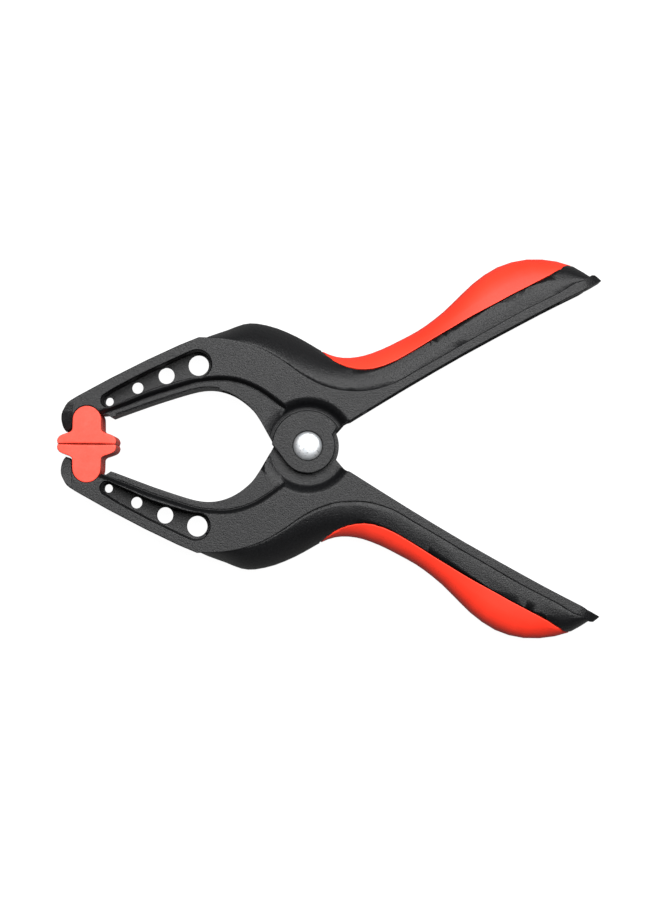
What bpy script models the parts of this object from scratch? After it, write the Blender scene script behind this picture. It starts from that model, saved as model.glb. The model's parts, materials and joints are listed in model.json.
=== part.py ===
"""Spring clamp: two moulded levers on a pivot rivet, with soft grips, swivel pads and a torsion spring.

Millimetres throughout, turned into metres when a mesh is made.
The clamp lies on its side: the pivot axis is Z, the jaws point to -X and the handles to +X.
All outlines are drawn about the pivot axis, at half depth.
Both levers, grips and pads are the same moulding, the lower one turned over about X.
"""
from itertools import combinations
from math import asin, atan2, cos, hypot, pi, radians, sin

import bpy
import bmesh
from mathutils import Vector

MM = 0.001
PIVOT_X = -7.04

# Depths along the pivot axis, measured from half depth.
FACE_Z = 11.0
BAND_Z = 10.75
FLANGE_Z = 9.0
EAR_TOP_Z = 9.8
OUTER_EAR_Z = 6.6
EAR_PLATE_Z = 7.75
INNER_EAR_TOP_Z = 6.3
INNER_EAR_LOW_Z = 3.9
EAR_ROOT_Z = 7.7
WEB_Z = 1.25
LEDGE_Z = 8.1
ARM_CAVITY_Z = 6.5
BACK_CAVITY_Z = 4.6
HANDLE_CAVITY_Z = 8.5
BAY_Z = 6.0

# Chamfer along the edges of the flat faces, and how far a cutter reaches past the solid.
EDGE = 0.3
BEYOND = 12.5

# Pivot.
EAR_R = 11.7
EAR_SMALL_R = 9.0
EAR_PLATE_R = 8.6
INNER_EAR_R = 10.2
CLEAR_R = 12.2
BORE_R = 3.3
SINK_R = 5.0
SINK_Z = 9.0
BOSS_R = 4.7
BOSS_Z = 0.15

# Beside the pivot the flange sinks: where that starts, over what width, and how deep.
FALL_R = 16.6
FALL_WIDTH = 4.4
FALL_DEPTH = 1.15

# Rivet and washer.
SHANK_R = 3.0
HEAD_R = 4.7
HEAD_LOW_Z = 9.3
HEAD_EDGE_Z = 9.6
TAIL_R = 4.0
TAIL_TOP_Z = -10.4
WASHER_R = 4.6
WASHER_TOP_Z = -9.3
WASHER_LOW_Z = -10.1

# Spring.
WIRE_R = 1.0
COIL_R = 6.2
COIL_PITCH = 2.15
COIL_TURNS = 2
LEG_ANGLE = 34.6
LEG_LENGTH = 35.0

# Jaw pad and its socket.
PAD_X = -72.2
PAD_Y = 7.9
PAD_R = 4.7
PAD_Z = 10.8
PAD_HALF_WIDTH = 9.7
PAD_GAP = 0.06
PAD_HOLLOW = 0.15
SOCKET_R = 5.0
BULB_R = 2.2
BULB_NECK = 1.0
BULB_Z = 3.7

# Seam beside the flat face: a groove that deepens between two places along the stations.
SEAM_W = 0.42
SEAM_WALL = 0.12
SEAM_DEPTH = 0.6
SEAM_FADE = (2.5, 6.0)
BACK_STEPS = 8

# Soft grip: it starts and ends at these places along the stations below.
GRIP_T = 2.0
ROOM_T = 2.4
GAP = 0.3
GRIP_START = 7.9
GRIP_END = 22.86
GRIP_SECTIONS = 25
GRIP_EDGE_MAX = 0.985
GRIP_MARGIN = 0.42
SEAM_END = 23.5

# Handle: bays between the cross ribs, as places along the stations, and its direction in degrees.
HANDLE_BAYS = [(15.6, 17.2), (17.45, 18.9), (19.15, 20.5), (20.75, 22.2)]
HANDLE_ANGLE = 29.0
HANDLE_ROUND_START = 103.4
HANDLE_ROUND_REACH = 7.9
HANDLE_ROUND_DROP = 7.2

# Holes through the jaw web: centre and radius.
WEB_HOLES = [
    (-36.25, 26.5, 3.4),
    (-46.85, 23.0, 2.7),
    (-56.3, 18.9, 1.9),
    (-65.55, 14.3, 1.4),
]

# Stations along the rounded back of a lever, from behind the jaw to the end of the handle.
# Each gives a point on the seam beside the flat face, a point on the outermost line,
# the roundness of the section, and how far out the soft grip starts.
STATIONS = [
    ((-36.0, 33.9), (-37.2, 34.2), 1.5, 1.0),
    ((-31.0, 34.85), (-33.0, 36.2), 1.5, 1.0),
    ((-25.5, 34.3), (-26.8, 38.4), 1.5, 1.0),
    ((-21.0, 33.35), (-21.6, 40.35), 1.5, 1.0),
    ((-16.8, 32.0), (-17.0, 40.6), 1.5, 1.0),
    ((-12.2, 29.85), (-10.5, 39.1), 1.5, 1.0),
    ((-7.4, 26.8), (-4.0, 36.35), 1.5, 1.0),
    ((-2.6, 23.35), (1.0, 33.6), 1.65, 1.0),
    ((2.4, 20.5), (5.0, 31.3), 1.9, 0.98),
    ((7.4, 18.65), (8.8, 29.9), 2.05, 0.855),
    ((11.7, 17.95), (12.5, 29.5), 2.1, 0.74),
    ((16.5, 17.7), (16.5, 29.9), 2.15, 0.64),
    ((22.0, 18.4), (20.5, 31.0), 2.25, 0.57),
    ((28.6, 20.6), (25.4, 33.0), 2.4, 0.55),
    ((34.0, 23.7), (30.5, 35.6), 2.5, 0.55),
    ((39.0, 26.6), (35.5, 38.3), 2.6, 0.565),
    ((43.9, 29.4), (40.0, 41.4), 2.7, 0.56),
    ((50.5, 33.3), (45.0, 45.5), 2.8, 0.52),
    ((57.2, 37.1), (50.2, 50.7), 2.8, 0.46),
    ((63.8, 40.9), (56.0, 56.0), 2.8, 0.40),
    ((70.4, 44.6), (63.0, 60.3), 2.8, 0.39),
    ((76.5, 47.7), (71.0, 62.4), 2.8, 0.435),
    ((82.4, 50.7), (79.5, 62.2), 2.5, 0.61),
    ((87.2, 53.6), (87.0, 60.15), 2.3, 1.0),
    ((91.6, 55.2), (93.1, 56.3), 2.2, 1.0),
]

# Outer side of the jaw, from the end of the seam down to the hook's tip.
JAW_BACK = [(-35.8, 34.95), (-42.0, 32.4), (-52.8, 27.3), (-64.5, 21.3), (-75.2, 15.4)]
HOOK = [(-75.2, 15.4), (-78.2, 13.4), (-80.2, 10.7), (-80.6, 8.0), (-80.0, 5.4), (-79.1, 4.1)]
# Throat edge, from the notch beside the pad to the pivot.
THROAT = [
    (-64.3, 8.8), (-57.4, 11.3), (-50.2, 13.9), (-40.2, 17.1), (-34.6, 18.4), (-30.2, 18.4),
    (-26.2, 17.4), (-22.2, 15.3), (-18.2, 11.9), (-15.6, 8.2),
]
THROAT_END = (-12.35, 2.45)
# Inner edge of the handle, from its end back to the pivot.
HANDLE_TIP = [(92.6, 56.7), (93.7, 56.75), (96.0, 55.1)]
HANDLE_EDGE = [(92.9, 53.4), (82.1, 48.0), (71.3, 42.3), (51.5, 31.4), (31.7, 19.7), (11.5, 7.2)]
# Raised edge of the lower flange that runs along the throat.
STEP_FOOT = [
    (-70.0, 8.4), (-62.0, 11.4), (-58.7, 12.6), (-51.6, 15.4), (-43.1, 18.1), (-36.5, 20.1),
    (-31.4, 20.75), (-27.0, 20.85), (-23.8, 20.4), (-20.6, 19.5), (-17.3, 18.1), (-15.0, 16.75),
    (-12.3, 14.9), (-10.0, 13.2), (-7.6, 11.6),
]
# Recess in the jaw: inner edge, wide end (centre and radius), outer edge on the way back, narrow end.
POCKET_INNER = [
    (-64.4, 12.25), (-62.0, 13.4), (-58.7, 14.9), (-51.6, 18.0), (-49.0, 18.9), (-43.1, 20.7),
    (-38.6, 21.85),
]
POCKET_WIDE = (-36.3, 26.45, 4.6)
POCKET_OUTER = [(-40.6, 29.6), (-43.2, 28.4), (-51.6, 24.45), (-58.7, 20.8), (-62.0, 19.05)]
POCKET_NARROW = (-65.3, 14.35, 2.3)
# Section of the step from the flange up to the flat face: distance out from its foot, and height.
VALLEY = [
    (0.12, 8.72), (0.3, 8.66), (0.55, 8.95), (0.8, 9.5), (1.05, 10.1), (1.3, 10.55), (1.6, 10.87),
    (2.05, 11.03), (2.05, BEYOND),
]
# Section of the groove round the pivot: radius and height.
GROOVE = [
    (0, 7.9), (12.35, 7.9), (12.8, 8.05), (13.25, 8.4), (13.7, 8.9), (14.15, 9.5), (14.6, 10.05),
    (15.05, 10.5), (15.55, 10.82), (16.3, 11.03), (16.3, BEYOND), (0, BEYOND),
]


# ---------------------------------------------------------------- outlines

def spline(points, steps):
    """Catmull-Rom curve through every point; works on tuples of any length."""
    ends = [tuple(2 * a - b for a, b in zip(points[0], points[1]))]
    tail = [tuple(2 * a - b for a, b in zip(points[-1], points[-2]))]
    pts = ends + list(points) + tail
    out = []
    for i in range(1, len(pts) - 2):
        for k in range(steps):
            out.append(spline_at(pts[i - 1:i + 3], k / steps))
    out.append(tuple(points[-1]))
    return out


def spline_at(four, t):
    value = []
    for p0, p1, p2, p3 in zip(*four):
        a = 2 * p1
        b = p2 - p0
        c = 2 * p0 - 5 * p1 + 4 * p2 - p3
        d = 3 * p1 - p0 - 3 * p2 + p3
        value.append(0.5 * (a + b * t + c * t * t + d * t ** 3))
    return tuple(value)


def station(t):
    """Seam point, outermost point, roundness and grip edge at a place along the back."""
    rows = [s + c + (n, b) for s, c, n, b in STATIONS]
    first = tuple(2 * a - b for a, b in zip(rows[0], rows[1]))
    last = tuple(2 * a - b for a, b in zip(rows[-1], rows[-2]))
    rows = [first] + rows + [last]
    i = min(int(t), len(STATIONS) - 2)
    v = spline_at(rows[i:i + 4], t - i)
    return (v[0], v[1]), (v[2], v[3]), v[4], min(v[5], GRIP_EDGE_MAX)


def along(a, b, u):
    """Point at distance u from a towards b."""
    d = hypot(b[0] - a[0], b[1] - a[1])
    return (a[0] + (b[0] - a[0]) * u / d, a[1] + (b[1] - a[1]) * u / d)


def arc(cx, cy, r, start, end, count):
    """Points on an arc, angles in degrees."""
    out = []
    for i in range(count + 1):
        a = radians(start + (end - start) * i / count)
        out.append((cx + r * cos(a), cy + r * sin(a)))
    return out


def seam_line(start, end, step, inset=0.0):
    """Points along the seam; inset moves them towards the outermost line."""
    out = []
    t = start
    while t < end + 1e-6:
        s, c, n, b = station(t)
        out.append(along(s, c, inset))
        t += step
    return out


def back_line(start, end, step, depth):
    """Points a given depth inside the outermost line."""
    out = []
    t = start
    while t < end + 1e-6:
        s, c, n, b = station(t)
        out.append(along(c, s, depth))
        t += step
    return out


# ---------------------------------------------------------------- meshes

def clear_scene():
    for ob in list(bpy.data.objects):
        bpy.data.objects.remove(ob, do_unlink=True)


def material(name, colour, roughness, metallic=0.0):
    mat = bpy.data.materials.new(name)
    mat.use_nodes = True
    shader = mat.node_tree.nodes["Principled BSDF"]
    shader.inputs["Base Color"].default_value = (*colour, 1.0)
    shader.inputs["Roughness"].default_value = roughness
    shader.inputs["Metallic"].default_value = metallic
    mat.diffuse_color = (*colour, 1.0)
    return mat


def add_object(name, bm):
    bmesh.ops.recalc_face_normals(bm, faces=bm.faces)
    mesh = bpy.data.meshes.new(name)
    bm.to_mesh(mesh)
    bm.free()
    ob = bpy.data.objects.new(name, mesh)
    bpy.context.scene.collection.objects.link(ob)
    return ob


def loft(name, rings):
    """Closed solid through rings of (x, y, z) points with flat ends."""
    bm = bmesh.new()
    rows = [[bm.verts.new(Vector(p) * MM) for p in ring] for ring in rings]
    for low, high in zip(rows, rows[1:]):
        for i in range(len(low)):
            j = (i + 1) % len(low)
            bm.faces.new((low[i], low[j], high[j], high[i]))
    bm.faces.new(rows[0][::-1])
    bm.faces.new(rows[-1])
    return add_object(name, bm)


def inset_outline(outline, inset):
    """Outline moved inwards by a small distance; the outline runs counter-clockwise."""
    out = []
    count = len(outline)
    for i in range(count):
        a = Vector(outline[i - 1])
        b = Vector(outline[i])
        c = Vector(outline[(i + 1) % count])
        n1 = Vector((a.y - b.y, b.x - a.x)).normalized()
        n2 = Vector((b.y - c.y, c.x - b.x)).normalized()
        n = (n1 + n2).normalized()
        grow = inset / max(n.dot(n1), 0.5)
        out.append((b.x + n.x * grow, b.y + n.y * grow))
    return out


def prism(name, outline, levels):
    """Straight-sided solid; levels are (z, inset) pairs from one end to the other."""
    rings = []
    for z, inset in levels:
        line = inset_outline(outline, inset) if inset else outline
        rings.append([(x, y, z) for x, y in line])
    return loft(name, rings)


def turned(name, profile, count):
    """Solid of revolution about Z from (radius, z) points that start and end on the axis."""
    bm = bmesh.new()
    rows = []
    for r, z in profile:
        if r == 0:
            rows.append([bm.verts.new((0, 0, z * MM))])
            continue
        row = []
        for i in range(count):
            a = 2 * pi * i / count
            row.append(bm.verts.new((r * cos(a) * MM, r * sin(a) * MM, z * MM)))
        rows.append(row)
    for low, high in zip(rows, rows[1:]):
        for i in range(count):
            j = (i + 1) % count
            corners = [low[i % len(low)], low[j % len(low)], high[j % len(high)], high[i % len(high)]]
            unique = list(dict.fromkeys(corners))
            bm.faces.new(unique)
    return add_object(name, bm)


def ring_solid(name, outline, count):
    """Ring about Z from a closed (radius, z) outline that stays off the axis."""
    bm = bmesh.new()
    rows = []
    for i in range(count):
        a = 2 * pi * i / count
        rows.append([bm.verts.new((r * cos(a) * MM, r * sin(a) * MM, z * MM)) for r, z in outline])
    for i in range(count):
        here = rows[i]
        there = rows[(i + 1) % count]
        for k in range(len(outline)):
            m = (k + 1) % len(outline)
            bm.faces.new((here[k], here[m], there[m], there[k]))
    return add_object(name, bm)


def combine(target, other, operation):
    """Add to or cut from the target with another solid, which is then removed."""
    mod = target.modifiers.new(operation.lower(), "BOOLEAN")
    mod.operation = operation
    mod.solver = "EXACT"
    mod.object = other
    graph = bpy.context.evaluated_depsgraph_get()
    mesh = bpy.data.meshes.new_from_object(target.evaluated_get(graph))
    target.modifiers.clear()
    target.data = mesh
    bpy.data.objects.remove(other, do_unlink=True)


def cut(target, other):
    combine(target, other, "DIFFERENCE")


def join(target, other):
    combine(target, other, "UNION")


def turned_over(ob):
    """Mirror a solid in the plane at half depth."""
    bm = bmesh.new()
    bm.from_mesh(ob.data)
    for v in bm.verts:
        v.co.z = -v.co.z
    bmesh.ops.reverse_faces(bm, faces=bm.faces)
    bm.to_mesh(ob.data)
    bm.free()
    return ob


def clean(ob):
    """Weld stray points left by the cuts and remove faces without area."""
    bm = bmesh.new()
    bm.from_mesh(ob.data)
    bmesh.ops.remove_doubles(bm, verts=bm.verts, dist=0.0025 * MM)
    bmesh.ops.dissolve_degenerate(bm, edges=bm.edges, dist=0.002 * MM)
    bmesh.ops.dissolve_limit(
        bm, angle_limit=radians(0.05), verts=bm.verts, edges=bm.edges, delimit={"NORMAL"}
    )
    bmesh.ops.triangulate(bm, faces=bm.faces)
    part_shared_edges(bm)
    bm.to_mesh(ob.data)
    bm.free()


def part_shared_edges(bm):
    """Where four triangles meet on one edge, turn the diagonal of the flattest two."""
    for edge in [e for e in bm.edges if len(e.link_faces) == 4]:
        pairs = combinations(edge.link_faces, 2)
        first, second = max(pairs, key=lambda pair: pair[0].normal.dot(pair[1].normal))
        normal = first.normal.copy()
        a, b = edge.verts
        c = next(v for v in first.verts if v not in (a, b))
        d = next(v for v in second.verts if v not in (a, b))
        bm.faces.remove(first)
        bm.faces.remove(second)
        for corners in ((a, c, d), (b, d, c)):
            face = bm.faces.new(corners)
            face.normal_update()
            if face.normal.dot(normal) < 0:
                face.normal_flip()


def finish(ob, name, mat, angle=35.0):
    ob.name = name
    ob.data.name = name
    ob.data.materials.clear()
    ob.data.materials.append(mat)
    ob.data.shade_smooth()
    ob.data.set_sharp_from_angle(angle=radians(angle))


# ---------------------------------------------------------------- lever

def lever_outline():
    """Flat-faced part of a lever, open round the pivot and round the pad's head."""
    line = []
    line += seam_line(1, SEAM_END, 0.5)[::-1]
    line += JAW_BACK[:-1]
    line += spline(HOOK, 3)
    line.append((PAD_X - SOCKET_R - 0.1, 5.3))
    line += arc(PAD_X, PAD_Y, SOCKET_R, 180, 21, 18)
    line.append((-65.9, 9.9))
    line += spline(THROAT, 3)
    line.append(THROAT_END)
    start = atan2(THROAT_END[1], THROAT_END[0]) * 180 / pi
    line += arc(0, 0, CLEAR_R, start, 33, 24)
    line += spline(HANDLE_EDGE[::-1], 2)
    line += HANDLE_TIP[::-1]
    return line[::-1]


def curve_point(w, h, n, angle):
    """Point on the rounded back's section: distance out from the seam, and height."""
    return (w * sin(angle) ** (2 / n), h * max(cos(angle), 0.0) ** (2 / n))


def back_profile(w, n, groove):
    """Half section of the rounded back: the seam's groove, then the curve to the outermost line."""
    start = asin((SEAM_W / w) ** (n / 2))
    bottom = BAND_Z - groove
    half = [(-1.2, bottom), (0.0, bottom), (SEAM_W - SEAM_WALL, bottom)]
    for i in range(BACK_STEPS + 1):
        angle = start + (pi / 2 - start) * (i / BACK_STEPS) ** 1.3
        half.append(curve_point(w, BAND_Z, n, angle))
    return half


def section_ring(s, c, profile):
    """Place (out, z) points on the upright plane through a seam point and outermost point."""
    ring = []
    for u, z in profile:
        x, y = along(s, c, u)
        ring.append((x, y, z))
    return ring


def rounded_back():
    rings = []
    t = 0.0
    while t < len(STATIONS) - 1 + 1e-6:
        s, c, n, b = station(t)
        w = hypot(c[0] - s[0], c[1] - s[1])
        fade = (t - SEAM_FADE[0]) / (SEAM_FADE[1] - SEAM_FADE[0])
        half = back_profile(w, n, SEAM_DEPTH * min(max(fade, 0.0), 1.0))
        loop = half + [(u, -z) for u, z in half[-2::-1]]
        rings.append(section_ring(s, c, loop))
        t += 0.5
    return loft("rounded_back", rings)


def grip_profile(w, n, edge, outside, inside, margin, count):
    """Closed C section between two offsets of the rounded back's curve."""
    start = asin(edge ** (n / 2))
    u, z = curve_point(w, BAND_Z, n, start)
    u1, z1 = curve_point(w, BAND_Z, n, start - 0.01)
    start -= 0.01 * margin / hypot(u - u1, z - z1)
    outer = []
    inner = []
    for i in range(count + 1):
        a = start + (pi / 2 - start) * i / count
        u, z = curve_point(w, BAND_Z, n, a)
        u1, z1 = curve_point(w, BAND_Z, n, a - 0.002)
        u2, z2 = curve_point(w, BAND_Z, n, min(a + 0.002, pi / 2))
        nx = z1 - z2
        nz = u2 - u1
        d = hypot(nx, nz)
        if i == count:
            nx, nz, d = 1.0, 0.0, 1.0
        outer.append((u + outside * nx / d, z + outside * nz / d))
        inner.append((u - inside * nx / d, max(z - inside * nz / d, 0.0)))
    loop = outer + [(u, -z) for u, z in outer[-2::-1]]
    loop += [(u, -z) for u, z in inner[:-1]] + inner[::-1]
    return loop


def grip_loft(name, extra, outside, inside, margin, steps):
    """Sweep the grip's section along the handle; extra lengthens it at both ends."""
    places = [GRIP_START + (GRIP_END - GRIP_START) * i / GRIP_SECTIONS for i in range(GRIP_SECTIONS + 1)]
    if extra:
        places = [GRIP_START - extra] + places + [GRIP_END + extra]
    rings = []
    for t in places:
        s, c, n, b = station(t)
        w = hypot(c[0] - s[0], c[1] - s[1])
        rings.append(section_ring(s, c, grip_profile(w, n, b, outside, inside, margin, steps)))
    return loft(name, rings)


def sweep_beside(name, line, profile, fall=None):
    """Sweep (out, z) points along a line; out is to the left of the line's direction."""
    rings = []
    for i, (x, y) in enumerate(line):
        a = line[max(i - 1, 0)]
        b = line[min(i + 1, len(line) - 1)]
        d = Vector((b[0] - a[0], b[1] - a[1])).normalized()
        ring = []
        for u, z in profile:
            px, py = x - d.y * u, y + d.x * u
            drop = fall(px, py) if fall and u <= 0 and z <= FLANGE_Z else 0.0
            ring.append((px, py, z - drop))
        rings.append(ring)
    return loft(name, rings)


def flange_fall(x, y):
    """How far the flange sinks beside the pivot."""
    near = min(max((FALL_R - hypot(x, y)) / FALL_WIDTH, 0.0), 1.0)
    return FALL_DEPTH * near * near


def throat_step():
    """Lowers the flange along the throat below the flat face, with a soft valley between them."""
    profile = [(-11.0, BEYOND)]
    profile += [(u, FLANGE_Z) for u in (-11.0, -8.0, -6.0, -4.5, -3.0, -1.5, 0.0)]
    return sweep_beside("throat_step", spline(STEP_FOOT, 3), profile + VALLEY, flange_fall)


def throat_ledge():
    """Sets the flange's edge back from the wall inside the throat."""
    line = [p for p in spline(THROAT, 4) if -64.0 < p[0] < -28.4]
    profile = [(-2.0, LEDGE_Z), (0.6, LEDGE_Z), (0.6, BEYOND), (-2.0, BEYOND)]
    return sweep_beside("throat_ledge", line, profile)


def pivot_groove():
    """Groove round the pivot, with an outer side that rolls over into the flat face."""
    return turned("pivot_groove", GROOVE, 64)


def outer_ear():
    """Plate that joins the raised disc to its own lever."""
    line = arc(0, 0, EAR_PLATE_R, 214, 385, 30)
    line += [(11.3, 7.15), (17.0, 12.0), (9.0, 20.0), (-6.0, 20.0), (-17.5, 15.5)]
    line += [(-15.9, 8.8), (-12.35, 2.45)]
    return prism("outer_ear", line, [(OUTER_EAR_Z + 0.02, 0), (EAR_PLATE_Z, 0)])


def ear_disc():
    """Raised disc round the rivet head."""
    line = arc(0, 0, EAR_SMALL_R, 214, 385, 30)
    line += arc(0, 0, EAR_R, 33, 178, 28)
    return prism("ear_disc", line, [(OUTER_EAR_Z, 0), (EAR_TOP_Z - EDGE, 0), (EAR_TOP_Z, EDGE)])


def inner_ear():
    line = arc(0, 0, INNER_EAR_R, 190, 385, 30)
    line += [(12.2, 7.7), (18.0, 13.5), (9.0, 20.0), (-6.0, 20.0), (-17.0, 15.0), (-15.6, 8.2)]
    line.append(THROAT_END)
    return prism("inner_ear", line, [(-INNER_EAR_TOP_Z, 0), (-INNER_EAR_LOW_Z, 0)])


def inner_ear_root():
    """Ties the inner ear to the side wall behind it, clear of the other lever's outer ear."""
    line = arc(0, 0, CLEAR_R + 0.2, 36, 166, 20)
    line += [(-16.5, 11.5), (-16.0, 15.0), (-6.0, 19.0), (9.0, 19.0), (16.0, 13.0)]
    return prism("inner_ear_root", line[::-1], [(-EAR_ROOT_Z, 0), (-INNER_EAR_LOW_Z - 0.1, 0)])


def spring_boss():
    """Half of the hub inside the coil, on the inner ear."""
    return cylinder("spring_boss", 0, 0, BOSS_R, -INNER_EAR_LOW_Z - 0.5, -BOSS_Z, 48)


def cylinder(name, x, y, r, low, high, count):
    step = 360 / count
    return prism(name, arc(x, y, r, 0, 360 - step, count - 1), [(low, 0), (high, 0)])


def pocket(sign):
    """Tapering recess in the jaw, from one face down to the thin web."""
    line = spline(POCKET_INNER, 2)
    line += arc(*POCKET_WIDE, -72, 110, 16)
    line += POCKET_OUTER
    line += arc(*POCKET_NARROW, 117, 282, 10)
    levels = [(WEB_Z, 0.25), (FACE_Z - EDGE, 0), (FACE_Z + 0.02, -EDGE), (BEYOND, -EDGE)]
    if sign < 0:
        levels = [(-z, inset) for z, inset in levels]
    return prism("pocket", line, levels)


def pivot_cavity():
    """Room for the spring between the side walls, open towards the other lever."""
    wall = [(-28.5, 5.0), (-28.5, 26.5), (-25.0, 30.0)]
    wall += seam_line(3.5, 11.5, 0.5, 2.5)
    wall += [(17.0, 5.0), (0.0, -6.0)]
    return prism("pivot_cavity", wall[::-1], [(-ARM_CAVITY_Z, 0), (ARM_CAVITY_Z, 0)])


def pivot_back_cavity():
    wall = [(-20.0, 22.0)]
    wall += back_line(3.6, 15.0, 0.5, 5.2)
    wall += [(39.0, 24.5), (17.0, 12.0)]
    return prism("pivot_back_cavity", wall[::-1], [(-BACK_CAVITY_Z, 0), (BACK_CAVITY_Z, 0)])


def handle_bay(first, last):
    """One bay of the handle's channel between two cross ribs."""
    outer = back_line(first, last, 0.25, 5.6)
    inner = handle_inner(first, last)
    return prism("bay", (outer + inner)[::-1], [(-BAY_Z, 0), (BAY_Z, 0)])


def handle_inner(first, last):
    """Points clear of the handle's inner edge, running back from last to first."""
    out = []
    for t in (last, first):
        s, c, n, b = station(t)
        out.append(along(s, c, -14.0))
    return out


def handle_channel():
    """Open channel along the inner side of the handle, to a little beyond the seam."""
    outer = seam_line(11.5, 22.0, 0.5, 3.0)
    inner = handle_inner(11.5, 22.0)
    return prism("channel", (outer + inner)[::-1], [(-HANDLE_CAVITY_Z, 0), (HANDLE_CAVITY_Z, 0)])


def handle_end_cutter(sign):
    """Rounds the handle's end away from one flat face."""
    d = Vector((cos(radians(HANDLE_ANGLE)), sin(radians(HANDLE_ANGLE))))
    n = Vector((-d.y, d.x))
    profile = []
    for i in range(7):
        a = pi / 2 * i / 6 * 0.97
        out = HANDLE_ROUND_START + HANDLE_ROUND_REACH * sin(a)
        profile.append((out, FACE_Z + 0.02 - HANDLE_ROUND_DROP * (1 - cos(a))))
    far = HANDLE_ROUND_START + HANDLE_ROUND_REACH + 3.0
    profile += [(far, profile[-1][1]), (far, BEYOND), (HANDLE_ROUND_START, BEYOND)]
    rings = []
    for v in (-25.0, 25.0):
        rings.append([(d.x * s + n.x * v, d.y * s + n.y * v, sign * z) for s, z in profile])
    return loft("end_cutter", rings)


def hook_slope(sign):
    """Lets the face of the hook fall away towards its tip."""
    profile = [(13.6, 11.02), (10.5, 10.55), (7.5, 9.6), (3.5, 7.8), (3.5, BEYOND), (13.6, BEYOND)]
    rings = []
    for x in (-83.0, PAD_X - SOCKET_R + 0.3):
        rings.append([(x, y, sign * z) for y, z in profile])
    return loft("hook_slope", rings)


def pad_bulb():
    """Snap-in bulb inside the pad, on a short neck from the socket's wall."""
    spread = asin(BULB_NECK / BULB_R) * 180 / pi
    line = arc(PAD_X, PAD_Y, BULB_R, 90 + spread, 450 - spread, 24)
    line += [(PAD_X + BULB_NECK, PAD_Y + SOCKET_R + 1.2), (PAD_X - BULB_NECK, PAD_Y + SOCKET_R + 1.2)]
    return prism("pad_bulb", line, [(-BULB_Z, 0), (BULB_Z, 0)])


def build_lever():
    edge = FACE_Z - EDGE
    lever = prism("lever", lever_outline(), [(-FACE_Z, EDGE), (-edge, 0), (edge, 0), (FACE_Z, EDGE)])
    join(lever, rounded_back())
    cut(lever, grip_loft("grip_room", 0.12, 1.5, ROOM_T, GRIP_MARGIN, 5))
    for sign in (1, -1):
        cut(lever, handle_end_cutter(sign))
        cut(lever, hook_slope(sign))
        cut(lever, pocket(sign))
    for shape in (throat_step, throat_ledge, pivot_groove):
        cut(lever, shape())
        cut(lever, turned_over(shape()))
    cut(lever, pivot_cavity())
    cut(lever, pivot_back_cavity())
    cut(lever, handle_channel())
    for first, last in HANDLE_BAYS:
        cut(lever, handle_bay(first, last))
    for shape in (outer_ear, ear_disc, inner_ear, inner_ear_root, spring_boss):
        join(lever, shape())
    cut(lever, cylinder("bore", 0, 0, BORE_R, -BEYOND, BEYOND, 40))
    cut(lever, cylinder("sink", 0, 0, SINK_R, SINK_Z, BEYOND, 48))
    for x, y, r in WEB_HOLES:
        cut(lever, cylinder("hole", x, y, r, -2, 2, 32))
    join(lever, pad_bulb())
    clean(lever)
    return lever


# ---------------------------------------------------------------- pads, rivet, spring

def pad_outline():
    line = arc(PAD_X, PAD_Y, PAD_R, 0, 180, 20)
    left = [(-4.75, 4.9), (-5.0, 4.35), (-5.6, 3.95), (-8.0, 3.1)]
    left += [(-8.9, 2.6), (-9.5, 1.85), (-PAD_HALF_WIDTH, 1.0), (-9.45, PAD_GAP)]
    left.append((-4.2, PAD_HOLLOW))
    right = [(-x, y) for x, y in left[::-1]]
    line += [(PAD_X + x, y) for x, y in left + right]
    return line


def build_pad():
    pad = prism(
        "pad", pad_outline(),
        [(-PAD_Z, 0.5), (-PAD_Z + 0.15, 0.15), (-PAD_Z + 0.5, 0), (PAD_Z - 0.5, 0), (PAD_Z - 0.15, 0.15),
         (PAD_Z, 0.5)],
    )
    cut(pad, keyhole())
    clean(pad)
    return pad


def keyhole():
    """Slot the bulb snaps into, wide enough for the pad's swing."""
    line = arc(PAD_X, PAD_Y, BULB_R + GAP, 117, 395, 26)
    for a in (35, 62, 90, 117):
        line.append((PAD_X + 7.0 * cos(radians(a)), PAD_Y + 7.0 * sin(radians(a))))
    return prism("keyhole", line, [(-BULB_Z - GAP, 0), (BULB_Z + GAP, 0)])


def build_rivet():
    profile = [(0, FACE_Z)]
    for i in range(1, 6):
        a = pi / 2 * i / 5
        profile.append((HEAD_R * sin(a), HEAD_EDGE_Z + (FACE_Z - HEAD_EDGE_Z) * cos(a)))
    profile += [(HEAD_R - 0.1, HEAD_LOW_Z), (SHANK_R, HEAD_LOW_Z), (SHANK_R, TAIL_TOP_Z)]
    profile += [(TAIL_R, TAIL_TOP_Z), (TAIL_R, -10.75), (3.7, -FACE_Z), (2.4, -FACE_Z), (2.0, -10.7)]
    profile += [(2.0, -7.5), (0, -7.0)]
    return turned("rivet", profile, 40)


def build_washer():
    r = SHANK_R + GAP
    line = [(r, WASHER_LOW_Z), (WASHER_R, WASHER_LOW_Z), (WASHER_R, WASHER_TOP_Z), (r, WASHER_TOP_Z)]
    return ring_solid("washer", line, 40)


def spring_path():
    """Centre line: a leg along the upper handle, the coil, a leg along the lower handle."""
    start = LEG_ANGLE + 90
    wrap = 360 * COIL_TURNS + 2 * (180 - start)
    top = COIL_PITCH * wrap / 360 / 2
    a = radians(start)
    d = Vector((cos(radians(LEG_ANGLE)), sin(radians(LEG_ANGLE)), 0))
    root = Vector((COIL_R * cos(a), COIL_R * sin(a), top))
    path = [root + d * LEG_LENGTH, root + d * (LEG_LENGTH * 0.5), root + d * 1.5]
    steps = 44
    for i in range(steps + 1):
        t = i / steps
        b = radians(start + wrap * t)
        path.append(Vector((COIL_R * cos(b), COIL_R * sin(b), top * (1 - 2 * t))))
    path += [Vector((p.x, -p.y, -p.z)) for p in path[2::-1]]
    return path


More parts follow.
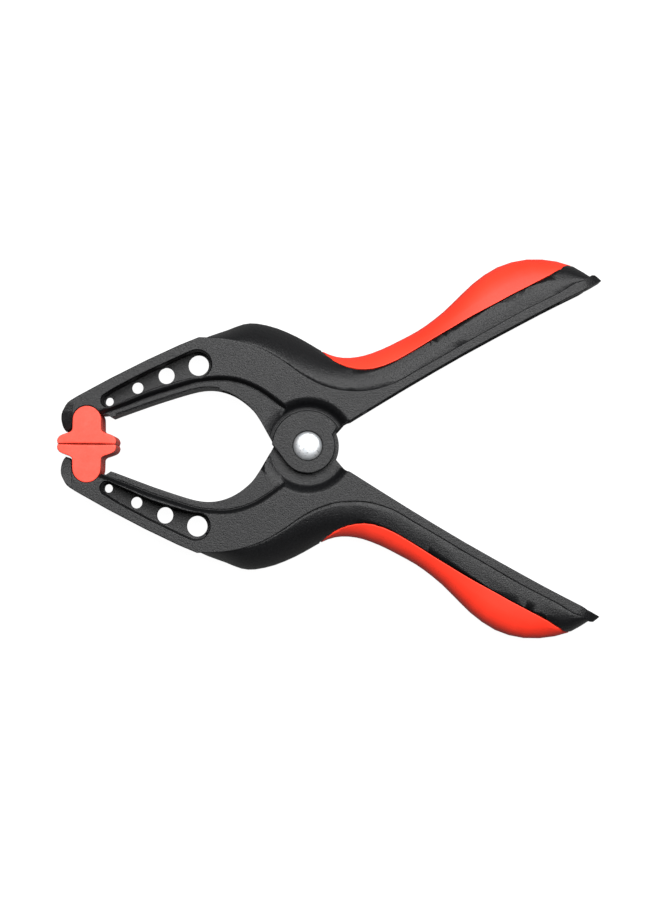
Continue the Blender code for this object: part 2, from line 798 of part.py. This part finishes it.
def build_spring():
    path = spring_path()
    rings = []
    sides = 8
    for i, p in enumerate(path):
        before = path[max(i - 1, 0)]
        after = path[min(i + 1, len(path) - 1)]
        d = (after - before).normalized()
        out = d.cross(Vector((0, 0, 1))).normalized()
        up = out.cross(d)
        ring = []
        for k in range(sides):
            a = 2 * pi * (k + 0.5) / sides
            ring.append(tuple(p + out * (WIRE_R * cos(a)) + up * (WIRE_R * sin(a))))
        rings.append(ring)
    return loft("spring", rings)


# ---------------------------------------------------------------- assembly

def place(ob, mirrored=False):
    """Put a piece drawn about the pivot into the clamp; mirrored turns it over about X."""
    ob.location = (PIVOT_X * MM, 0, FACE_Z * MM)
    if mirrored:
        ob.rotation_euler = (pi, 0, 0)


def move_origin(ob, x, y):
    """Shift an object's origin to (x, y) without moving the piece."""
    for v in ob.data.vertices:
        v.co.x -= x * MM
        v.co.y -= y * MM


def twin(ob, name):
    other = bpy.data.objects.new(name, ob.data)
    bpy.context.scene.collection.objects.link(other)
    return other


def main():
    clear_scene()
    black = material("black_nylon", (0.022, 0.023, 0.025), 0.55)
    red_soft = material("red_soft_grip", (0.72, 0.045, 0.03), 0.5)
    red_pad = material("red_pad", (0.70, 0.06, 0.04), 0.6)
    zinc = material("zinc_plate", (0.78, 0.79, 0.80), 0.28, 1.0)
    steel = material("spring_steel", (0.35, 0.35, 0.36), 0.35, 1.0)

    lever = build_lever()
    finish(lever, "upper_lever", black)
    place(lever)
    place(twin(lever, "lower_lever"), True)

    grip = grip_loft("grip", 0.0, 0.0, GRIP_T, 0.0, 6)
    clean(grip)
    finish(grip, "upper_grip", red_soft)
    place(grip)
    place(twin(grip, "lower_grip"), True)

    pad = build_pad()
    finish(pad, "upper_jaw_pad", red_pad)
    move_origin(pad, PAD_X, PAD_Y)
    lower = twin(pad, "lower_jaw_pad")
    pad.location = ((PIVOT_X + PAD_X) * MM, PAD_Y * MM, FACE_Z * MM)
    lower.location = ((PIVOT_X + PAD_X) * MM, -PAD_Y * MM, FACE_Z * MM)
    lower.rotation_euler = (pi, 0, 0)

    rivet = build_rivet()
    finish(rivet, "pivot_rivet", zinc)
    place(rivet)
    washer = build_washer()
    finish(washer, "rivet_washer", zinc)
    place(washer)
    spring = build_spring()
    finish(spring, "torsion_spring", steel)
    place(spring)


main()
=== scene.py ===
import json
from math import cos, radians, sin

import bmesh
import bpy
from mathutils import Matrix, Vector


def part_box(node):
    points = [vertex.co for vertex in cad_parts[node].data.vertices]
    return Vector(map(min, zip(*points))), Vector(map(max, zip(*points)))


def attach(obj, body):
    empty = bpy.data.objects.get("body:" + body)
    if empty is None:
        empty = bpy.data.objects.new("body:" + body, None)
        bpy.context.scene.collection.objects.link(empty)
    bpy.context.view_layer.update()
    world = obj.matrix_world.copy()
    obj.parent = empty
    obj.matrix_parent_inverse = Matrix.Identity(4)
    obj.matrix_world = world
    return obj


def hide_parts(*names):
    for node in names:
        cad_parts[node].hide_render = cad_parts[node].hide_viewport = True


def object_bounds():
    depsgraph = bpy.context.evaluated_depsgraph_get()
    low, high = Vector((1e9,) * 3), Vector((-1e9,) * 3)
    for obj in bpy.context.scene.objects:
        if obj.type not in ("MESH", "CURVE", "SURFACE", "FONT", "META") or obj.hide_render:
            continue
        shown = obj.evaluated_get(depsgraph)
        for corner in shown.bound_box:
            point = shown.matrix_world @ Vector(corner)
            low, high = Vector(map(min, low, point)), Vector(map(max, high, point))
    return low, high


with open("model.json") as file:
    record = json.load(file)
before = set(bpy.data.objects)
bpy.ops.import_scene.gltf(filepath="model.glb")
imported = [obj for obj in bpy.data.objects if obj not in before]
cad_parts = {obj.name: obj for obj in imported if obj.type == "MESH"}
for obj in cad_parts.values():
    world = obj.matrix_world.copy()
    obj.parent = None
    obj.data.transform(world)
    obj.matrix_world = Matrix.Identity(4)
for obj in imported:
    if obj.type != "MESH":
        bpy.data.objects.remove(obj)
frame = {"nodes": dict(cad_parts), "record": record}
cad_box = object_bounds()
nodes = frame["nodes"]
scene = bpy.context.scene

# The pivot axis, from the rivet's box.
low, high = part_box("pivot_rivet")
PIVOT = (low + high) / 2

# Camera: places from the pivot, in metres. FOOT is the point straight below the lens, and
# TARGET the point in the middle of the view, which is VIEW_HEIGHT high at half depth.
DISTANCE = 1.0
FOOT = (0.00754, -0.03070)
TARGET = (0.00730, -0.00100)
VIEW_HEIGHT = 0.297
ROLL = 0.0080
SENSOR_HEIGHT = 24.0

# Light: one softbox above the clamp, towards the upper lever, in metres from the frame's origin,
# and an even white world. The floor shows FLOOR_WHITE and lights the clamp with FLOOR_GLOW.
SOFTBOX_PLACE = (0.10, 0.43, 1.25)
SOFTBOX_SIZE = (1.0, 0.8)
SOFTBOX_POWER = 44.0
WORLD_STRENGTH = 0.06
FLOOR_WHITE = 0.98
FLOOR_GLOW = 0.16
FLOOR_REACH = 3.0
FLOOR_GAP = 0.0002

# Visual meshes: corners closer than WELD metres are joined, edges flatter than FLAT degrees go,
# and edges sharper than the piece's own angle stay hard.
WELD = 0.000001
FLAT = 0.3
LEVER_ANGLE = 24.0
GRIP_ANGLE = 40.0
PAD_ANGLE = 32.0
PLATED_ANGLE = 40.0
SPRING_ANGLE = 50.0
NORMAL_WEIGHT = 50

# Radii, in metres, over which Bevel nodes soften the edges and find the sharp edges that are painted
# lighter as a highlight.
NYLON_EDGE_HIGHLIGHT = 0.0006
RUBBER_EDGE_HIGHLIGHT = 0.0005
SOFT_EDGE = 0.0004
RIVET_EDGE = 0.0002
BEVEL_SAMPLES = 6


# ---------------------------------------------------------------- material helpers

class Nodes:
    """A new material and short names for building its node tree."""

    def __init__(self, name):
        self.mat = bpy.data.materials.new(name)
        self.mat.use_nodes = True
        self.tree = self.mat.node_tree
        self.shader = self.tree.nodes["Principled BSDF"]
        self.coords = self.tree.nodes.new("ShaderNodeTexCoord").outputs["Object"]

    def add(self, kind, inputs=None, **settings):
        node = self.tree.nodes.new("ShaderNode" + kind)
        for key, value in settings.items():
            setattr(node, key, value)
        for key, value in (inputs or {}).items():
            self.put(node.inputs[key], value)
        return node

    def put(self, socket, value):
        if isinstance(value, bpy.types.NodeSocket):
            self.tree.links.new(value, socket)
        else:
            socket.default_value = value

    def noise(self, scale, detail, roughness, coords=None):
        """Noise with about this many features to the metre."""
        node = self.add("TexNoise", {"Vector": coords or self.coords, "Scale": scale,
                                     "Detail": detail, "Roughness": roughness})
        return node.outputs["Fac"]

    def math(self, operation, a, b):
        return self.add("Math", {0: a, 1: b}, operation=operation).outputs[0]

    def ramp(self, value, low, high, out_low=0.0, out_high=1.0):
        node = self.add("MapRange", {"Value": value, "From Min": low, "From Max": high,
                                     "To Min": out_low, "To Max": out_high}, clamp=True)
        return node.outputs[0]

    def blend(self, factor, a, b):
        node = self.add("Mix", {"Factor": factor, 6: a, 7: b}, data_type="RGBA")
        return node.outputs[2]

    def bump(self, height, strength, distance, normal=None):
        """Relief of the given depth in metres, on top of another normal where one is given."""
        inputs = {"Height": height, "Strength": strength, "Distance": distance}
        if normal is not None:
            inputs["Normal"] = normal
        return self.add("Bump", inputs).outputs["Normal"]

    def edge_normal(self, radius):
        """A normal that rounds sharp edges off over the radius."""
        return self.add("Bevel", {"Radius": radius}, samples=BEVEL_SAMPLES).outputs["Normal"]

    def edge_highlight_mask(self, radius):
        """1 along sharp edges, 0 on open faces: where sharp edges get a painted highlight."""
        flat = self.add("NewGeometry").outputs["Normal"]
        rounded = self.edge_normal(radius)
        product = self.add("VectorMath", {0: rounded, 1: flat}, operation="DOT_PRODUCT")
        return self.ramp(product.outputs["Value"], 0.90, 0.995, 1.0, 0.0)

    def stretched(self, scale):
        """Object coordinates scaled along each axis: a low scale draws the noise out."""
        return self.add("Mapping", {"Vector": self.coords, "Scale": scale}).outputs["Vector"]


def rgb(r, g, b):
    return (r, g, b, 1.0)


# ---------------------------------------------------------------- materials

def black_nylon():
    """Spark-eroded moulded nylon: fine grain, slow mottling, edges painted a little lighter as a
    highlight.
    """
    n = Nodes("black_nylon_moulded")
    grain = n.noise(1900, 3.0, 0.6)
    fine = n.noise(4200, 2.0, 0.5)
    mottle = n.noise(60, 3.0, 0.6)
    tone = n.math("ADD", n.math("MULTIPLY", grain, 0.7), n.math("MULTIPLY", mottle, 0.3))
    colour = n.blend(n.ramp(tone, 0.35, 0.65), rgb(0.0024, 0.0025, 0.0029), rgb(0.0056, 0.0058, 0.0064))
    # Painted highlight: sharp edges lightened towards a paler black, patchy with the mottling, and made a
    # little less rough.
    edge_highlight = n.math("MULTIPLY", n.edge_highlight_mask(NYLON_EDGE_HIGHLIGHT), n.ramp(mottle, 0.35, 0.65, 0.35, 1.0))
    n.put(n.shader.inputs["Base Color"], n.blend(edge_highlight, colour, rgb(0.014, 0.014, 0.015)))
    rough = n.ramp(tone, 0.3, 0.7, 0.39, 0.50)
    n.put(n.shader.inputs["Roughness"], n.math("SUBTRACT", rough, n.math("MULTIPLY", edge_highlight, 0.04)))
    n.put(n.shader.inputs["Specular IOR Level"], 0.24)
    height = n.math("ADD", grain, n.math("MULTIPLY", fine, 0.5))
    n.put(n.shader.inputs["Normal"], n.bump(height, 0.9, 0.00016, n.edge_normal(SOFT_EDGE)))
    return n.mat


def red_grip():
    """Soft-touch rubber: satin, slightly cloudy, finely grained, duller where hands rub it."""
    n = Nodes("red_soft_grip")
    fine = n.noise(3800, 2.0, 0.5)
    mottle = n.noise(45, 2.0, 0.5)
    rubbed = n.noise(16, 2.0, 0.5)
    colour = n.blend(n.ramp(mottle, 0.35, 0.65), rgb(0.74, 0.028, 0.011), rgb(0.80, 0.036, 0.016))
    # Painted highlight: sharp edges lightened to a brighter red.
    n.put(n.shader.inputs["Base Color"], n.blend(n.edge_highlight_mask(RUBBER_EDGE_HIGHLIGHT), colour, rgb(0.84, 0.06, 0.03)))
    rough = n.math("ADD", n.ramp(fine, 0.3, 0.7, 0.46, 0.56), n.ramp(rubbed, 0.35, 0.65, 0.0, 0.06))
    n.put(n.shader.inputs["Roughness"], rough)
    n.put(n.shader.inputs["Specular IOR Level"], 0.25)
    n.put(n.shader.inputs["Normal"], n.bump(fine, 0.25, 0.00004, n.edge_normal(SOFT_EDGE)))
    return n.mat


def red_pad():
    """Matt moulded rubber, with a coarser grain than the grips."""
    n = Nodes("red_jaw_pad")
    fine = n.noise(2400, 3.0, 0.55)
    mottle = n.noise(180, 3.0, 0.6)
    colour = n.blend(n.ramp(mottle, 0.3, 0.7), rgb(0.64, 0.048, 0.026), rgb(0.72, 0.064, 0.040))
    # Painted highlight: sharp edges lightened to a paler red.
    n.put(n.shader.inputs["Base Color"], n.blend(n.edge_highlight_mask(RUBBER_EDGE_HIGHLIGHT), colour, rgb(0.76, 0.10, 0.07)))
    n.put(n.shader.inputs["Roughness"], n.ramp(fine, 0.3, 0.7, 0.5, 0.64))
    n.put(n.shader.inputs["Specular IOR Level"], 0.25)
    n.put(n.shader.inputs["Normal"], n.bump(fine, 0.35, 0.00006, n.edge_normal(SOFT_EDGE)))
    return n.mat


def zinc():
    """Bright zinc plate: cloudy, pitted, with fine scratches."""
    n = Nodes("zinc_plated_steel")
    mottle = n.noise(420, 5.0, 0.65)
    pits = n.noise(1500, 3.0, 0.6)
    scratches = n.noise(2600, 2.0, 0.5, n.stretched((1.0, 0.12, 1.0)))
    colour = n.blend(n.ramp(mottle, 0.4, 0.62), rgb(0.44, 0.46, 0.48), rgb(0.68, 0.69, 0.70))
    n.put(n.shader.inputs["Base Color"], n.blend(n.ramp(pits, 0.58, 0.66), colour, rgb(0.27, 0.28, 0.29)))
    n.put(n.shader.inputs["Metallic"], 0.82)
    n.put(n.shader.inputs["Roughness"], n.ramp(mottle, 0.35, 0.65, 0.50, 0.36))
    height = n.math("ADD", n.math("ADD", mottle, pits), n.math("MULTIPLY", scratches, 0.5))
    n.put(n.shader.inputs["Normal"], n.bump(height, 0.3, 0.00006, n.edge_normal(RIVET_EDGE)))
    return n.mat


def spring_steel():
    """Drawn wire: streaked along its length, slightly darkened."""
    n = Nodes("spring_steel")
    drawn = n.noise(900, 4.0, 0.6, n.stretched((0.15, 1.0, 1.0)))
    dark = n.noise(150, 3.0, 0.5)
    colour = n.blend(n.ramp(drawn, 0.35, 0.65), rgb(0.26, 0.26, 0.27), rgb(0.42, 0.42, 0.43))
    n.put(n.shader.inputs["Base Color"], n.blend(n.ramp(dark, 0.5, 0.7), colour, rgb(0.20, 0.19, 0.18)))
    n.put(n.shader.inputs["Metallic"], 1.0)
    n.put(n.shader.inputs["Roughness"], n.ramp(drawn, 0.3, 0.7, 0.3, 0.45))
    n.put(n.shader.inputs["Normal"], n.bump(drawn, 0.2, 0.00004))
    return n.mat


# ---------------------------------------------------------------- pieces

def welded_copy(name, mat, smooth_angle):
    """The CAD node's shape as one closed mesh with smooth shading, standing in for the node."""
    bm = bmesh.new()
    bm.from_mesh(nodes[name].data)
    bmesh.ops.remove_doubles(bm, verts=bm.verts, dist=WELD)
    bmesh.ops.dissolve_limit(bm, angle_limit=radians(FLAT), verts=bm.verts, edges=bm.edges)
    for face in bm.faces:
        face.smooth = True
        face.material_index = 0
    mesh = bpy.data.meshes.new(name + "_shape")
    bm.to_mesh(mesh)
    bm.free()
    mesh.set_sharp_from_angle(angle=radians(smooth_angle))
    mesh.materials.append(mat)
    ob = bpy.data.objects.new(name + "_visual", mesh)
    scene.collection.objects.link(ob)
    normals = ob.modifiers.new("flat_faces_first", "WEIGHTED_NORMAL")
    normals.mode = "FACE_AREA"
    normals.weight = NORMAL_WEIGHT
    normals.keep_sharp = True
    body = next(b for b, members in frame["record"]["behaviour"]["bodies"].items() if name in members)
    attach(ob, body)
    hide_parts(name)


# ---------------------------------------------------------------- set

def floor():
    """Pale floor that shows white and throws only a little light back up."""
    n = Nodes("pale_floor")
    n.put(n.shader.inputs["Base Color"], rgb(0.1, 0.1, 0.1))
    n.put(n.shader.inputs["Roughness"], 0.9)
    n.put(n.shader.inputs["Specular IOR Level"], 0.0)
    n.put(n.shader.inputs["Emission Color"], rgb(1.0, 1.0, 1.0))
    seen = n.add("LightPath").outputs["Is Camera Ray"]
    n.put(n.shader.inputs["Emission Strength"], n.ramp(seen, 0.0, 1.0, FLOOR_GLOW, FLOOR_WHITE))
    mesh = bpy.data.meshes.new("floor")
    z = cad_box[0][2] - FLOOR_GAP
    corners = [(FLOOR_REACH * x, FLOOR_REACH * y, z) for x, y in ((-1, -1), (1, -1), (1, 1), (-1, 1))]
    mesh.from_pydata(corners, [], [(0, 1, 2, 3)])
    mesh.materials.append(n.mat)
    ob = bpy.data.objects.new("floor", mesh)
    scene.collection.objects.link(ob)


def lights():
    """The softbox, facing the frame's origin, and the white world."""
    light = bpy.data.lights.new("softbox", "AREA")
    light.shape = "RECTANGLE"
    light.size, light.size_y = SOFTBOX_SIZE
    light.energy = SOFTBOX_POWER
    ob = bpy.data.objects.new("softbox", light)
    ob.location = SOFTBOX_PLACE
    ob.rotation_euler = (-Vector(SOFTBOX_PLACE)).to_track_quat("-Z", "Y").to_euler()
    scene.collection.objects.link(ob)
    world = bpy.data.worlds.new("studio")
    world.use_nodes = True
    background = world.node_tree.nodes["Background"]
    background.inputs["Color"].default_value = rgb(1.0, 1.0, 1.0)
    background.inputs["Strength"].default_value = WORLD_STRENGTH
    scene.world = world


def camera():
    """The camera above the clamp, rolled a little as in the photo."""
    centre = PIVOT + Vector((*TARGET, 0.0))
    place = PIVOT + Vector((*FOOT, DISTANCE))
    back = (place - centre).normalized()
    up = Vector((-sin(ROLL), cos(ROLL), 0.0))
    right = up.cross(back).normalized()
    up = back.cross(right)
    cam = bpy.data.cameras.new("camera")
    ob = bpy.data.objects.new("camera", cam)
    turn = Matrix((right, up, back)).transposed().to_4x4()
    ob.matrix_world = Matrix.Translation(place) @ turn
    cam.sensor_fit = "VERTICAL"
    cam.sensor_height = SENSOR_HEIGHT
    cam.lens = cam.sensor_height * (place - centre).length / VIEW_HEIGHT
    scene.collection.objects.link(ob)
    scene.camera = ob


def main():
    black = black_nylon()
    for name in ("upper_lever", "lower_lever"):
        welded_copy(name, black, LEVER_ANGLE)
    grip = red_grip()
    for name in ("upper_grip", "lower_grip"):
        welded_copy(name, grip, GRIP_ANGLE)
    pad = red_pad()
    for name in ("upper_jaw_pad", "lower_jaw_pad"):
        welded_copy(name, pad, PAD_ANGLE)
    plated = zinc()
    for name in ("pivot_rivet", "rivet_washer"):
        welded_copy(name, plated, PLATED_ANGLE)
    welded_copy("torsion_spring", spring_steel(), SPRING_ANGLE)
    floor()
    lights()
    camera()
    scene.view_settings.view_transform = "Standard"


main()
